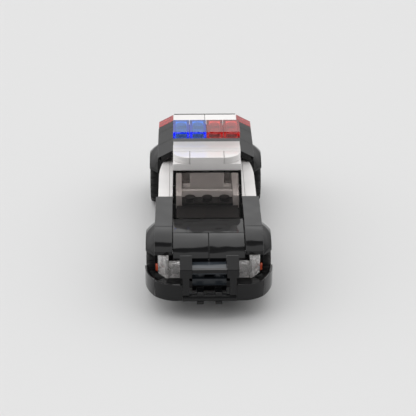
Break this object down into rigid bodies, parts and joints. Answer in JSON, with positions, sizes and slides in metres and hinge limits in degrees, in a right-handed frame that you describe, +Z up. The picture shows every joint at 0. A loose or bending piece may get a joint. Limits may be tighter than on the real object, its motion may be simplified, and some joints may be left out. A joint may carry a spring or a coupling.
{
  "type": "toy police patrol car",
  "caption": "Brick-built toy police car in black and white with a red and blue roof light bar, bull bar and wheels that turn freely on snap pins.",
  "frame": {"origin": "on the floor under the middle of the car's length and width", "axes": "nose towards -Y, +X to the car's left, +Z up"},
  "size_m": [0.0564, 0.1536, 0.0532],
  "materials": {
    "black": "gloss",
    "white": "gloss",
    "light_grey": "gloss",
    "dark_grey": "gloss",
    "rim_grey": "gloss",
    "smoked": "clear gloss",
    "clear": "clear gloss",
    "amber": "clear gloss",
    "red": "clear gloss",
    "blue": "clear gloss",
    "tyre": "matte"
  },
  "bodies": {
    "car": {"axle_plate_front": "black", "axle_plate_rear": "black", "bonnet_slopes": "black", "bonnet_tile": "black", "boot_deck": "white", "bullbar_bars": "black", "bullbar_post_left": "black", "bullbar_post_right": "black", "bumper_left": "black", "bumper_right": "black", "cabin_back": "white", "cabin_floor": "white", "chassis_plate_front": "black", "chassis_plate_rear": "black", "clip_plate": "black", "dash_panel": "white", "dashboard": "black", "door_left": "white", "door_right": "white", "front_core": "black", "grille": "dark_grey", "headlight_left": "clear", "headlight_right": "clear", "indicator_left": "amber", "indicator_right": "amber", "light_base": "light_grey", "lights_blue": "blue", "lights_red": "red", "mudguard_front_left": "black", "mudguard_front_right": "black", "mudguard_rear_left": "black", "mudguard_rear_right": "black", "quarter_left": "black", "quarter_right": "black", "rear_bumper": "black", "rear_core": "black", "rear_panel": "black", "rear_window": "smoked", "roof_plate": "white", "roof_tiles": "white", "side_window_left": "smoked", "side_window_right": "smoked", "sill_left": "black", "sill_right": "black", "tail_light_left": "red", "tail_light_right": "red", "windscreen": "smoked", "wing_left": "black", "wing_right": "black"},
    "wheel_front_left": {"rim_front_left": "rim_grey", "tyre_front_left": "tyre"},
    "wheel_front_right": {"rim_front_right": "rim_grey", "tyre_front_right": "tyre"},
    "wheel_rear_left": {"rim_rear_left": "rim_grey", "tyre_rear_left": "tyre"},
    "wheel_rear_right": {"rim_rear_right": "rim_grey", "tyre_rear_right": "tyre"}
  },
  "joints": [
    {"name": "spin_front_left", "type": "hinge", "parent": "car", "child": "wheel_front_left", "pos_m": [0.0229, -0.0424, 0.012], "axis": [1, 0, 0], "continuous": true},
    {"name": "spin_front_right", "type": "hinge", "parent": "car", "child": "wheel_front_right", "pos_m": [-0.0229, -0.0424, 0.012], "axis": [1, 0, 0], "continuous": true},
    {"name": "spin_rear_left", "type": "hinge", "parent": "car", "child": "wheel_rear_left", "pos_m": [0.0229, 0.0496, 0.012], "axis": [1, 0, 0], "continuous": true},
    {"name": "spin_rear_right", "type": "hinge", "parent": "car", "child": "wheel_rear_right", "pos_m": [-0.0229, 0.0496, 0.012], "axis": [1, 0, 0], "continuous": true}
  ]
}
